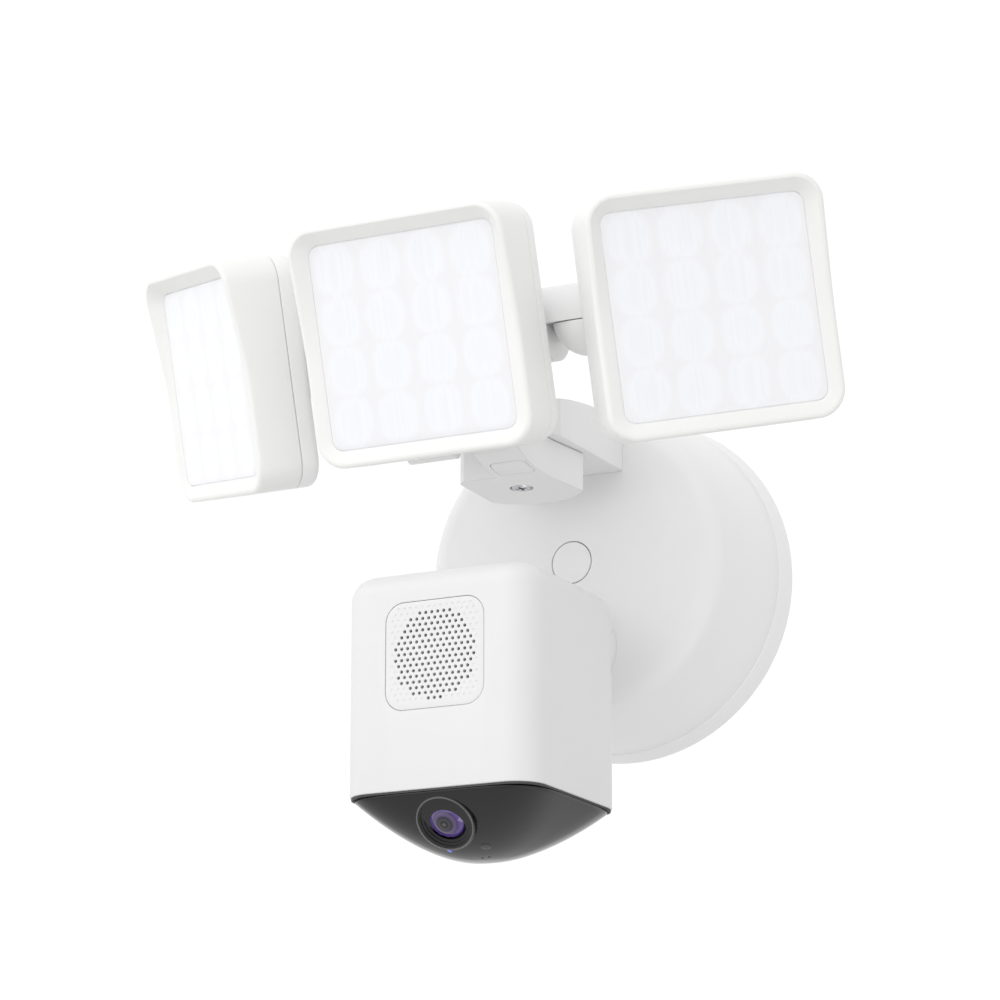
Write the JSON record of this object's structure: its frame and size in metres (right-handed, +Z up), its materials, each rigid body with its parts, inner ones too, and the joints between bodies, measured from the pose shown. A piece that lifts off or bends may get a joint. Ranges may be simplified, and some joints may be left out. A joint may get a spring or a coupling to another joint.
{
  "type": "floodlight security camera",
  "caption": "Wall floodlight with three swivelling square light heads on a tilting bar above a box camera with a dark dome and speaker grille.",
  "frame": {"origin": "middle of the junction box screw pattern, on the wall plane at the centre of the round base", "axes": "+Z up, -Y away from the wall to the front, +X to the right as seen from the front"},
  "size_m": [0.2801, 0.2074, 0.2359],
  "materials": {
    "white_plastic": "satin",
    "head_plastic": "satin",
    "frame_plastic": "satin",
    "diffuser_plastic": "frosted, lit from behind",
    "seal_rubber": "matte",
    "screw_steel": "zinc plated",
    "circuit_board": "green solder mask",
    "led_board_white": "white solder mask",
    "camera_white": "satin",
    "speaker_black": "matte",
    "dome_black": "polished, tinted",
    "lens_black": "satin",
    "lens_coated_glass": "coated",
    "status_blue": "clear, lit",
    "sensor_grey": "clear"
  },
  "bodies": {
    "base": {"base_gasket": "seal_rubber", "base_ring": "white_plastic", "base_cover": "white_plastic", "crossbar": "screw_steel", "ring_screws": "screw_steel", "centre_screw": "screw_steel", "centre_plug": "white_plastic", "driver_board": "circuit_board", "board_posts": "white_plastic", "neck": "white_plastic", "neck_screws": "screw_steel", "camera_stub": "white_plastic", "stub_screws": "screw_steel"},
    "swivel": {"hub_block": "white_plastic", "hub_screw": "screw_steel", "ear_cover": "white_plastic"},
    "light_bar": {"arm_tube": "white_plastic", "arm_caps": "white_plastic", "tilt_bolt": "screw_steel", "tilt_nut": "screw_steel", "centre_housing": "head_plastic", "centre_seal": "seal_rubber", "centre_led_board": "led_board_white", "centre_bezel": "frame_plastic", "centre_diffuser": "diffuser_plastic", "head_screws": "screw_steel"},
    "left_head": {"left_knuckle": "head_plastic", "left_pivot_screw": "screw_steel", "left_housing": "head_plastic", "left_seal": "seal_rubber", "left_led_board": "led_board_white", "left_bezel": "frame_plastic", "left_diffuser": "diffuser_plastic", "left_screws": "screw_steel"},
    "right_head": {"right_knuckle": "head_plastic", "right_pivot_screw": "screw_steel", "right_housing": "head_plastic", "right_seal": "seal_rubber", "right_led_board": "led_board_white", "right_bezel": "frame_plastic", "right_diffuser": "diffuser_plastic", "right_screws": "screw_steel"},
    "camera": {"camera_fork": "white_plastic", "fork_pin": "screw_steel", "fork_screws": "screw_steel", "camera_shell": "camera_white", "grille_plate": "camera_white", "speaker": "speaker_black", "main_board": "circuit_board", "board_rails": "white_plastic", "seam_trim": "seal_rubber", "dome_cover": "dome_black", "lens_barrel": "lens_black", "lens_glass": "lens_coated_glass", "status_led": "status_blue", "light_sensor": "sensor_grey"}
  },
  "joints": [
    {"name": "arm_pan", "type": "hinge", "parent": "base", "child": "swivel", "pos_m": [0, -0.1013, 0.026], "axis": [0, 0, 1], "range_deg": [-24, 24]},
    {"name": "bar_tilt", "type": "hinge", "parent": "swivel", "child": "light_bar", "pos_m": [0, -0.1494, 0.0634], "axis": [1, 0, 0], "range_deg": [-30, 12]},
    {"name": "left_head_turn", "type": "hinge", "parent": "light_bar", "child": "left_head", "pos_m": [-0.0511, -0.1494, 0.0634], "axis": [0, -0.2924, 0.9563], "range_deg": [-45, 37]},
    {"name": "right_head_turn", "type": "hinge", "parent": "light_bar", "child": "right_head", "pos_m": [0.0511, -0.1494, 0.0634], "axis": [0, -0.2924, 0.9563], "range_deg": [-33, 45]},
    {"name": "camera_pan", "type": "hinge", "parent": "base", "child": "camera", "pos_m": [0, -0.084, -0.034], "axis": [0, 0, 1], "range_deg": [-25, 25]}
  ]
}
